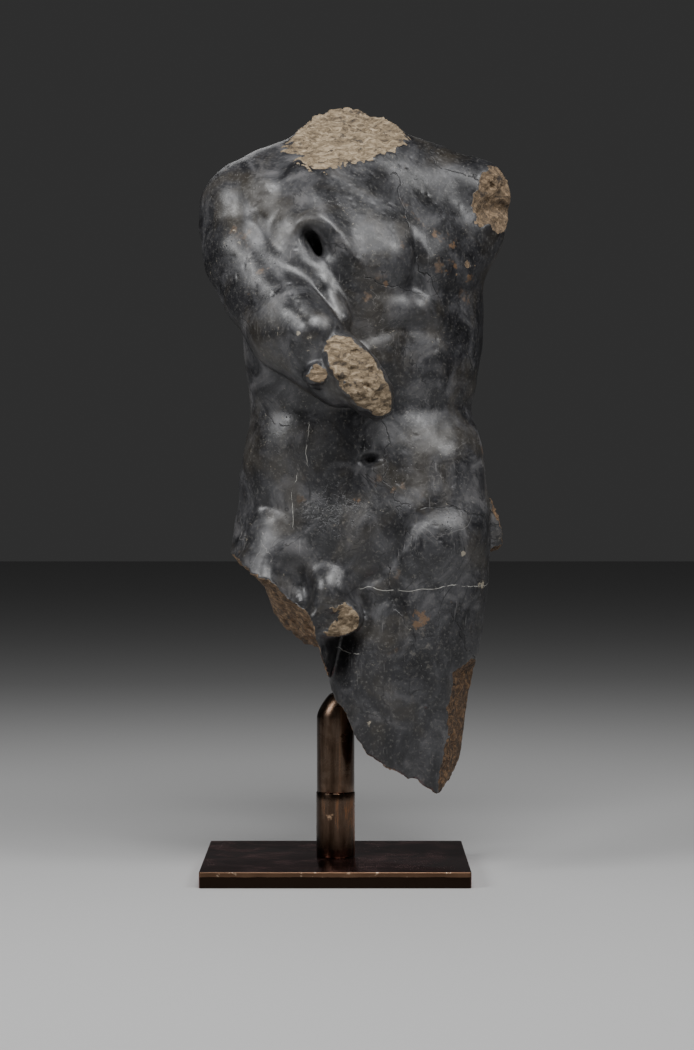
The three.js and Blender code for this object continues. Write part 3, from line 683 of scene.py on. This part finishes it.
# ============================================================== marks on the stone
# Veins and cracks that can be followed over the front, as (across, height) points.
DARK_VEINS = [
    [(70, 886), (80, 877), (91, 807), (103, 778), (120, 740), (148, 700), (180, 630)],
    [(60, 575), (67, 545), (62, 506), (72, 484), (84, 450), (91, 423), (95, 402)],
    [(67, 392), (67, 362), (72, 336), (88, 327), (101, 298), (112, 262)],
    [(86, 468), (122, 464), (149, 470), (168, 461), (190, 455)],
    [(120, 916), (128, 900), (142, 893), (165, 890), (182, 880)],
    [(142, 340), (162, 300), (174, 275)],
    [(41, 745), (70, 738), (106, 733)],
    [(-88, 582), (-72, 570), (-58, 566)],
]
PALE_VEINS = [
    [(27, 366), (60, 364), (110, 364), (150, 366), (192, 368)],
    [(-32, 568), (-35, 540), (-34, 520)],
    [(-48, 512), (-54, 476), (-52, 440)],
    [(2, 288), (16, 284), (31, 282)],
]
FRONT_REACH = 40


# Stains on the front, as (across, height, radius).
BROWN_STAINS = [(125, 806, 5), (148, 795, 6), (151, 768, 4), (140, 760, 5), (169, 755, 6),
                (62, 742, 4), (27, 474, 5), (106, 325, 13)]
CREAM_STAINS = [(-125, 810, 3), (-119, 794, 3), (-125, 770, 3), (-105, 765, 3), (-45, 678, 4),
                (-31, 671, 4), (42, 196, 4), (160, 408, 4), (184, 367, 5)]


def rounded(line):
    """The line with its corners rounded, so that its two sides stay well told apart."""
    knots = np.array([line[0], *line, line[-1]], float)
    out = []
    for a, b, c, d in zip(knots, knots[1:], knots[2:], knots[3:]):
        for t in np.linspace(0, 1, 6, endpoint=False):
            out.append(0.5 * (2 * b + (c - a) * t + (2 * a - 5 * b + 4 * c - d) * t ** 2
                              + (3 * b - a - 3 * c + d) * t ** 3))
    return [tuple(point) for point in out] + [tuple(line[-1])]


def vein_marks(points, lines, wander, shift):
    """Distance to the nearest vein, and the same with the side's sign, on the front only."""
    p = points.T
    u = p[0] + wander * ripple(p, 30, shift) + 0.4 * wander * ripple(p, 9, shift + 1)
    z = p[2] + wander * ripple(p, 30, shift + 2) + 0.4 * wander * ripple(p, 9, shift + 3)
    gaps, sides = zip(*(line_gap(u, z, rounded(line)) for line in lines))
    nearest = np.argmin(gaps, 0)
    gap = np.take_along_axis(np.array(gaps), nearest[None], 0)[0]
    side = np.take_along_axis(np.array(sides), nearest[None], 0)[0]
    gap = gap + np.maximum(p[1] - FRONT_REACH, 0)
    return gap, gap * side


def stain_marks(p, stains):
    cover = np.zeros_like(p[0])
    for across, height, radius in stains:
        cover = np.maximum(cover, spot(p[0], p[2], (across, height), (radius, radius)))
    return cover * (p[1] < FRONT_REACH)


def mark_stone(torso):
    points = np.empty(len(torso.data.vertices) * 3, np.float32)
    torso.data.vertices.foreach_get("co", points)
    points = points.reshape(-1, 3).astype(float) / MM
    p = points.T
    marks = Marks()
    stone(p, marks)
    set_attribute(torso, "broken", smoothstep((marks.depth + 1) / 2))
    set_attribute(torso, "warmth", marks.warmth)
    for name, lines, wander, shift in (("dark", DARK_VEINS, 4, 31.0), ("pale", PALE_VEINS, 2, 41.0)):
        gap, signed = vein_marks(points, lines, wander, shift)
        set_attribute(torso, name + "_vein_gap", gap)
        set_attribute(torso, name + "_vein_side", signed)
    set_attribute(torso, "brown_stain", stain_marks(p, BROWN_STAINS))
    set_attribute(torso, "cream_stain", stain_marks(p, CREAM_STAINS))
    pitted = swell(p, (0, -95, 450), (34, 60, 48)) + 0.7 * swell(p, (110, -60, 300), (40, 80, 60))
    set_attribute(torso, "pitted", np.clip(pitted, 0, 1))


def make_torso(material):
    margin = 3 * STONE_STEP
    low = STONE_LOW / MM - margin
    high = STONE_HIGH / MM + margin
    points, faces = meshed(stone, low, high, STONE_STEP)
    torso = mesh_object("torso_stone", points * MM, faces)
    thinner = torso.modifiers.new("thinner", "DECIMATE")
    thinner.ratio = min(1.0, STONE_FACES / (2 * len(faces)))
    plain_copy(torso)
    smooth(torso)
    mark_stone(torso)
    finish_piece(torso, "marble_torso", material)
    return torso


# ======================================================================= metal pieces
def turned(name, rings, sides):
    """A closed turned piece from (radius, height, middle x) rings, in metres."""
    angles = np.linspace(0, 2 * math.pi, sides, endpoint=False)
    points, faces = [], []
    for radius, height, middle in rings:
        points += [(middle + radius * math.cos(a), radius * math.sin(a), height) for a in angles]
    for ring in range(len(rings) - 1):
        for side in range(sides):
            a = ring * sides + side
            b = ring * sides + (side + 1) % sides
            faces.append((a, b, b + sides, a + sides))
    faces.append(tuple(range(sides))[::-1])
    faces.append(tuple(range((len(rings) - 1) * sides, len(rings) * sides)))
    thing = mesh_object(name, points, faces)
    smooth(thing)
    return thing


POST_SIDES = 96


def make_upper_post(material):
    low, high = POST_LOW[2], POST_HIGH[2]
    radius = -POST_LOW[0]
    chamfer, pin, lean = 0.8 * MM, 9 * MM, 7 * MM
    dome_start, dome_top = 196 * MM, 229 * MM
    rings = [(radius - chamfer, low, 0), (radius - 0.3 * chamfer, low + 0.3 * chamfer, 0)]
    rings += [(radius, low + chamfer + t * (dome_start - low - chamfer), 0) for t in np.linspace(0, 1, 9)]
    for t in np.linspace(0.06, 1, 15):
        rings.append((pin + (radius - pin) * math.sqrt(1 - t ** 1.8),
                      dome_start + (dome_top - dome_start) * t, lean * float(smoothstep(t))))
    rings += [(pin, high - pin * 0.2, lean), (pin * 0.8, high, lean)]
    finish_piece(turned("post_upper", rings, POST_SIDES), "upper_post", material)


def make_lower_post(material):
    low, high = SOCKET_LOW[2], SOCKET_HIGH[2]
    radius = SOCKET_HIGH[0]
    chamfer = 0.8 * MM
    rings = [(radius - chamfer, low, 0), (radius - 0.3 * chamfer, low + 0.3 * chamfer, 0)]
    rings += [(radius, low + chamfer + t * (high - low - 2 * chamfer), 0) for t in np.linspace(0, 1, 9)]
    rings += [(radius - 0.3 * chamfer, high - 0.3 * chamfer, 0), (radius - chamfer, high, 0)]
    finish_piece(turned("post_lower", rings, POST_SIDES), "lower_post", material)


def make_plate(material):
    mesh = bpy.data.meshes.new("plate")
    shape = bmesh.new()
    bmesh.ops.create_cube(shape, size=1.0)
    size = PLATE_HIGH - PLATE_LOW
    middle = (PLATE_HIGH + PLATE_LOW) / 2
    bmesh.ops.scale(shape, vec=size, verts=shape.verts)
    bmesh.ops.translate(shape, vec=middle, verts=shape.verts)
    upright = [e for e in shape.edges if abs(e.verts[0].co.z - e.verts[1].co.z) > size[2] / 2]
    bmesh.ops.bevel(shape, geom=upright, offset=3 * MM, segments=4, affect="EDGES", profile=0.5)
    level = [e for e in shape.edges if e.calc_face_angle(0) > 1.2]
    bmesh.ops.bevel(shape, geom=level, offset=1.3 * MM, segments=3, affect="EDGES", profile=0.5)
    shape.to_mesh(mesh)
    shape.free()
    plate = bpy.data.objects.new("plate", mesh)
    bpy.context.scene.collection.objects.link(plate)
    smooth(plate)
    finish_piece(plate, "base_plate", material)


# ========================================================================== finishes
class Wire:
    """One output of a finish's node tree; expressions on it add Math nodes."""

    def __init__(self, finish, socket):
        self.finish = finish
        self.socket = socket

    def math(self, operation, *values):
        return self.finish.node("ShaderNodeMath", {"operation": operation}, dict(enumerate(values)))

    def __add__(self, other):
        return self.math("ADD", self, other)

    __radd__ = __add__

    def __sub__(self, other):
        return self.math("SUBTRACT", self, other)

    def __rsub__(self, other):
        return self.math("SUBTRACT", other, self)

    def __mul__(self, other):
        return self.math("MULTIPLY", self, other)

    __rmul__ = __mul__

    def __truediv__(self, other):
        return self.math("DIVIDE", self, other)

    def __abs__(self):
        return self.math("ABSOLUTE", self)

    def above(self, low, high):
        """Nought below low, one above high, and smooth between."""
        return self.finish.node("ShaderNodeMapRange", {"interpolation_type": "SMOOTHSTEP"},
                                {"Value": self, "From Min": low, "From Max": high})

    def below(self, low, high):
        return 1 - self.above(low, high)


class Finish:
    """A material with one Principled shader, built from expressions on its wires."""

    def __init__(self, name, **constants):
        self.material = bpy.data.materials.new(name)
        self.material.use_nodes = True
        self.tree = self.material.node_tree
        self.tree.nodes.clear()
        self.shader = self.tree.nodes.new("ShaderNodeBsdfPrincipled")
        output = self.tree.nodes.new("ShaderNodeOutputMaterial")
        self.tree.links.new(self.shader.outputs[0], output.inputs["Surface"])
        for socket, value in constants.items():
            self.shader.inputs[self.socket_name(socket)].default_value = value

    @staticmethod
    def socket_name(word):
        return "IOR" if word == "ior" else word.replace("_", " ").title()

    def plug(self, socket, value):
        if isinstance(value, Wire):
            self.tree.links.new(value.socket, socket)
        elif isinstance(value, tuple) and len(value) == 3 and len(socket.default_value) == 4:
            socket.default_value = (*value, 1)
        else:
            socket.default_value = value

    def node(self, kind, settings=None, sockets=None, output=0):
        node = self.tree.nodes.new(kind)
        for name, value in (settings or {}).items():
            if name == "stops":
                self.set_stops(node.color_ramp, value)
            else:
                setattr(node, name, value)
        for name, value in (sockets or {}).items():
            self.plug(node.inputs[name], value)
        return Wire(self, node.outputs[output])

    @staticmethod
    def set_stops(ramp, stops):
        while len(ramp.elements) < len(stops):
            ramp.elements.new(1)
        for element, (position, colour) in zip(ramp.elements, stops):
            element.position = position
            element.color = (*colour, 1)

    def coordinates(self):
        return self.node("ShaderNodeTexCoord", output="Object")

    def stretched(self, vector, scale):
        return self.node("ShaderNodeMapping", None, {"Vector": vector, "Scale": scale})

    def noise(self, vector, scale, detail=4.0, roughness=0.5, distortion=0.0):
        return self.node("ShaderNodeTexNoise", None, {
            "Vector": vector, "Scale": scale, "Detail": detail,
            "Roughness": roughness, "Distortion": distortion})

    def cells(self, vector, scale, feature="F1", randomness=1.0):
        return self.node("ShaderNodeTexVoronoi", {"feature": feature}, {
            "Vector": vector, "Scale": scale, "Randomness": randomness}, output="Distance")

    def axis(self, vector, number):
        return self.node("ShaderNodeSeparateXYZ", None, {0: vector}, output=number)

    def turned_by(self, vector, angles, scale):
        return self.node("ShaderNodeMapping", None,
                         {"Vector": vector, "Rotation": angles, "Scale": scale})

    def far_from(self, vector, place):
        return self.node("ShaderNodeVectorMath", {"operation": "DISTANCE"},
                         {0: vector, 1: place}, output=1)

    def mark(self, name):
        return self.node("ShaderNodeAttribute", {"attribute_name": name}, output="Fac")

    def ramp(self, factor, stops):
        return self.node("ShaderNodeValToRGB", {"stops": stops}, {0: factor})

    def mix(self, factor, a, b, blend="MIX"):
        return self.node("ShaderNodeMix", {"data_type": "RGBA", "blend_type": blend},
                         {0: factor, 6: a, 7: b}, output=2)

    def bump(self, height, strength, distance, under=None):
        sockets = {"Height": height, "Strength": strength, "Distance": distance}
        if under is not None:
            sockets["Normal"] = under
        return self.node("ShaderNodeBump", None, sockets)

    def done(self, **sockets):
        for name, value in sockets.items():
            self.plug(self.shader.inputs[self.socket_name(name)], value)
        return self.material


def threads(f, vector, scale, distortion, width):
    """Thin wandering lines, where a noise passes its middle value."""
    return abs(f.noise(vector, scale, 4.0, 0.55, distortion) - 0.5).below(0.0, width)


def scratches(f, place):
    """Fine straight marks in two directions."""
    marks = None
    for angles in ((1.1, 0.5, 0.2), (0.7, -1.0, 0.6)):
        grain = f.noise(f.turned_by(place, angles, (1.0, 1.0, 0.035)), 420.0, 1.0)
        line = grain.above(0.70, 0.76)
        marks = line if marks is None else marks + line
    return marks * f.noise(place, 13.0, 2.0).above(0.5, 0.62)


def polished_body(f, place):
    """Dark stone clouded blue-grey and warm grey."""
    warp = f.noise(place, 5.0, 3.0)
    clouds = f.noise(place, 22.0, 7.0, 0.62, 0.9)
    body = f.ramp(clouds * 0.7 + warp * 0.3, [
        (0.39, (0.005, 0.005, 0.006)),
        (0.47, (0.013, 0.013, 0.015)),
        (0.54, (0.034, 0.034, 0.037)),
        (0.64, (0.090, 0.088, 0.091)),
    ])
    warm = f.noise(place, 11.0, 5.0, 0.6, 0.5).above(0.48, 0.64)
    body = f.mix(warm * 0.55, body, (0.042, 0.036, 0.028))
    grain = f.noise(place, 260.0, 3.0, 0.6).above(0.52, 0.72)
    return f.mix(grain * 0.38, body, (0.13, 0.125, 0.115)), clouds, warp


def torn_colour(f, place, tear):
    cream = f.ramp(tear, [(0.34, (0.045, 0.032, 0.020)), (0.5, (0.20, 0.150, 0.092)),
                          (0.68, (0.42, 0.34, 0.235))])
    brown = f.ramp(tear, [(0.34, (0.018, 0.011, 0.006)), (0.5, (0.080, 0.044, 0.021)),
                          (0.68, (0.26, 0.15, 0.072))])
    torn = f.mix(f.mark("warmth"), cream, brown)
    specks = f.noise(place, 85.0, 4.0, 0.6).below(0.34, 0.42)
    return f.mix(specks * 0.75, torn, (0.022, 0.017, 0.014))


def dark_marble():
    f = Finish("dark_marble", ior=1.55, metallic=0.0)
    place = f.coordinates()
    body, clouds, warp = polished_body(f, place)
    dark_threads = threads(f, place, 8.0, 1.4, 0.007) * clouds.above(0.42, 0.56)
    body = f.mix(dark_threads * 0.85, body, (0.006, 0.006, 0.007))
    pale_threads = threads(f, place, 13.0, 0.9, 0.004) * warp.above(0.5, 0.62)
    body = f.mix(pale_threads * 0.5, body, (0.26, 0.25, 0.24))
    # the veins that can be followed over the front, in millimetres
    dark_gap, dark_side = f.mark("dark_vein_gap"), f.mark("dark_vein_side")
    patchy = f.noise(place, 60.0, 4.0, 0.6)
    dark = dark_gap.below(3.0, 5.0) * abs(dark_side).below(0.3, 1.2) * patchy.above(0.34, 0.46)
    body = f.mix(dark * 0.92, body, (0.004, 0.004, 0.005))
    pale_gap, pale_side = f.mark("pale_vein_gap"), f.mark("pale_vein_side")
    white = pale_gap.below(3.0, 5.0) * abs(pale_side).below(0.05, 0.6) * patchy.above(0.40, 0.50)
    body = f.mix(white * 0.75, body, (0.48, 0.47, 0.43))
    # cream flecks, tan patches, stains and the mottled patches
    clusters = f.noise(place, 17.0, 3.0).above(0.46, 0.60)
    flecks = f.noise(place, 150.0, 3.0, 0.65, 1.6).above(0.66, 0.73) * clusters
    body = f.mix(flecks * 0.6, body, (0.30, 0.265, 0.205))
    tan = f.noise(place, 34.0, 5.0, 0.65).above(0.6, 0.7) * f.noise(place, 7.0).above(0.52, 0.64)
    body = f.mix(tan * 0.55, body, (0.15, 0.095, 0.055))
    ragged_edge = (f.noise(place, 115.0, 5.0, 0.7) - 0.5) * 3.2
    brown_stain = f.mark("brown_stain")
    brown_stain = (brown_stain + ragged_edge).above(0.5, 0.8) * brown_stain.above(0.08, 0.4)
    body = f.mix(brown_stain * 0.75, body, (0.13, 0.075, 0.038))
    cream_stain = f.mark("cream_stain")
    cream_stain = (cream_stain + ragged_edge).above(0.5, 0.8) * cream_stain.above(0.08, 0.4)
    body = f.mix(cream_stain * 0.7, body, (0.34, 0.30, 0.23))
    pitted = f.mark("pitted")
    mottle = f.noise(place, 75.0, 5.0, 0.7)
    body = f.mix(pitted * mottle.below(0.38, 0.5) * 0.8, body, (0.008, 0.008, 0.009))
    body = f.mix(pitted * mottle.above(0.58, 0.68) * 0.5, body, (0.17, 0.155, 0.13))
    scratched = scratches(f, place)
    body = f.mix(scratched * 0.25, body, (0.24, 0.235, 0.23))
    # torn stone on the breaks
    tear = f.noise(f.stretched(place, (1.0, 2.2, 2.2)), 60.0, 6.0, 0.7, 1.2)
    ragged = (f.mark("broken") + (f.noise(place, 90.0, 4.0) - 0.5) * 0.5).above(0.42, 0.58)
    colour = f.mix(ragged, body, torn_colour(f, place, tear))
    grain_haze = f.noise(place, 150.0, 4.0, 0.65).above(0.4, 0.65)
    polish = 0.31 + clouds.above(0.35, 0.65) * 0.12 + grain_haze * 0.08
    polish = polish + dark * 0.2 + flecks * 0.1 + scratched * 0.1
    roughness = polish + ragged * (0.88 - polish)
    pits = f.cells(place, 210.0).below(0.02, 0.22) * f.noise(place, 28.0).above(0.5, 0.66)
    skin = f.noise(place, 130.0, 4.0, 0.6) * 0.3 - pits * 0.9 - dark * 1.2
    skin = skin - pitted * mottle.below(0.38, 0.5)
    relief = skin + ragged * (tear * 5.0 + f.noise(place, 260.0, 4.0, 0.7) * 2.0)
    normal = f.bump(relief, 0.5, 0.0012)
    return f.done(base_color=colour, roughness=roughness, normal=normal)


def patina(f, place, streak_scale, colours):
    """The brown skin of old bronze, with its streaks and mottling."""
    streaks = f.noise(f.stretched(place, streak_scale), 60.0, 6.0, 0.65, 0.4)
    mottle = f.noise(place, 26.0, 6.0, 0.65, 0.5)
    return f.ramp(streaks * 0.6 + mottle * 0.4, colours), streaks, mottle


# Places on the metal, in metres.
COPPER_LOW, COPPER_HIGH = 0.085, 0.11
WORN_PLACE = (-0.0072, -0.0235, 0.0725)


def post_bronze():
    """Vertical streaks, copper showing low down and a bright worn spot."""
    f = Finish("post_bronze", metallic=1.0)
    place = f.coordinates()
    colour, streaks, mottle = patina(f, place, (1.0, 1.0, 0.1), [
        (0.38, (0.030, 0.018, 0.011)), (0.5, (0.085, 0.055, 0.038)), (0.64, (0.17, 0.125, 0.095))])
    low_down = f.axis(place, 2).below(COPPER_LOW, COPPER_HIGH)
    copper = streaks.above(0.55, 0.66) * (0.2 + low_down * 0.6)
    colour = f.mix(copper, colour, (0.34, 0.15, 0.065))
    ragged_edge = (f.noise(place, 170.0, 5.0, 0.7) - 0.5) * 0.02
    worn_spot = (f.far_from(place, WORN_PLACE) + ragged_edge).below(0.001, 0.0045)
    colour = f.mix(worn_spot * 0.8, colour, (0.55, 0.36, 0.23))
    rubbed = scratches(f, place)
    colour = f.mix(rubbed * 0.5, colour, (0.30, 0.20, 0.14))
    roughness = 0.20 + mottle.above(0.4, 0.7) * 0.16 + copper * 0.1
    relief = streaks * 0.5 + f.noise(place, 320.0, 3.0) * 0.3 - rubbed * 0.4
    return f.done(base_color=colour, roughness=roughness, normal=f.bump(relief, 0.25, 0.0004))


def plate_bronze():
    """A mauve-brown top with pale rubbed places, a front face painted near black as painted shade, and a
    worn brown strip along the front edge.
    """
    f = Finish("plate_bronze", metallic=1.0)
    place = f.coordinates()
    colour, streaks, mottle = patina(f, place, (0.15, 1.0, 1.0), [
        (0.38, (0.24, 0.120, 0.118)), (0.5, (0.36, 0.190, 0.187)), (0.64, (0.47, 0.28, 0.272))])
    rubbed = scratches(f, place)
    colour = f.mix(rubbed * 0.6, colour, (0.36, 0.31, 0.30))
    front = (0 - f.axis(place, 1)).above(-PLATE_LOW[1] - 0.0016, -PLATE_LOW[1] - 0.0006)
    height = f.axis(place, 2) + (mottle - 0.5) * 0.003
    # painted shade: the whole front face is coloured near black, far darker than the top of the same
    # bronze, with the worn strip laid over its top edge
    colour = f.mix(front, colour, (0.022, 0.014, 0.010))
    strip = front * height.above(PLATE_HIGH[2] - 0.0068, PLATE_HIGH[2] - 0.0052)
    nicks = f.noise(place, 130.0, 3.0, 0.6).above(0.62, 0.68)
    colour = f.mix(strip * 0.85, colour, (0.20, 0.115, 0.070))
    colour = f.mix(strip * nicks, colour, (0.50, 0.36, 0.25))
    roughness = 0.15 + mottle.above(0.4, 0.7) * 0.12 + rubbed * 0.15 + strip * 0.2
    relief = streaks * 0.3 + f.noise(place, 320.0, 3.0) * 0.3 - strip * nicks * 1.5
    return f.done(base_color=colour, roughness=roughness, normal=f.bump(relief, 0.2, 0.0004))


# ===================================================================== stage and camera
# The camera is level, and its horizon lies off the middle of the frame. Both ratios are to
# the frame's longer side.
VIEW_DISTANCE = 3.448
VIEW_SIDE = 0.0145
VIEW_HEIGHT = 0.4935
FOCAL_RATIO = 18 / 7
HORIZON_LIFT = 4 / 105
SENSOR = 36.0


def stage_floor():
    extent = 14.0
    floor = mesh_object("floor", [(-extent, -extent, 0), (extent, -extent, 0),
                                  (extent, extent, 0), (-extent, extent, 0)], [(0, 1, 2, 3)])
    f = Finish("floor_paint", roughness=0.7)
    shade = f.noise(f.coordinates(), 3.0, 2.0) * 0.02
    floor.data.materials.append(f.done(base_color=f.ramp(shade + 0.5, [
        (0.0, (0.42, 0.42, 0.42)), (1.0, (0.46, 0.46, 0.46))])))


def studio_light(name, place, target, size, power, colour=(1, 1, 1)):
    light = bpy.data.lights.new(name, "AREA")
    light.shape = "RECTANGLE"
    light.size, light.size_y = size
    light.energy = power
    light.color = colour
    lamp = bpy.data.objects.new(name, light)
    bpy.context.scene.collection.objects.link(lamp)
    lamp.location = place
    aim = np.subtract(target, place)
    tilt = math.acos(-aim[2] / np.linalg.norm(aim))
    lamp.rotation_euler = (tilt, 0, math.atan2(aim[1], aim[0]) - math.pi / 2)
    return lamp


def light_stage():
    middle = (0.02, -0.03, 0.6)
    studio_light("overhead_front", (0.15, -1.6, 2.5), middle, (1.3, 0.8), 68)
    studio_light("side_left", (-1.9, -1.3, 1.6), middle, (0.9, 0.9), 40)
    studio_light("side_right", (1.6, -1.2, 2.1), middle, (0.8, 0.8), 30)
    studio_light("back_rim", (-0.3, 1.9, 2.0), middle, (1.2, 0.6), 5)
    world = bpy.data.worlds.new("studio")
    world.use_nodes = True
    world.node_tree.nodes["Background"].inputs["Color"].default_value = (0.5, 0.5, 0.5, 1)
    world.node_tree.nodes["Background"].inputs["Strength"].default_value = 0.07
    bpy.context.scene.world = world


def place_camera():
    camera = bpy.data.cameras.new("camera")
    camera.sensor_fit = "AUTO"
    camera.sensor_width = SENSOR
    camera.lens = SENSOR * FOCAL_RATIO
    camera.shift_y = -HORIZON_LIFT
    viewer = bpy.data.objects.new("camera", camera)
    bpy.context.scene.collection.objects.link(viewer)
    viewer.location = (VIEW_SIDE, -VIEW_DISTANCE, VIEW_HEIGHT)
    viewer.rotation_euler = (math.pi / 2, 0, 0)
    bpy.context.scene.camera = viewer


make_torso(dark_marble())
bronze = post_bronze()
make_upper_post(bronze)
make_lower_post(bronze)
make_plate(plate_bronze())
stage_floor()
light_stage()
place_camera()
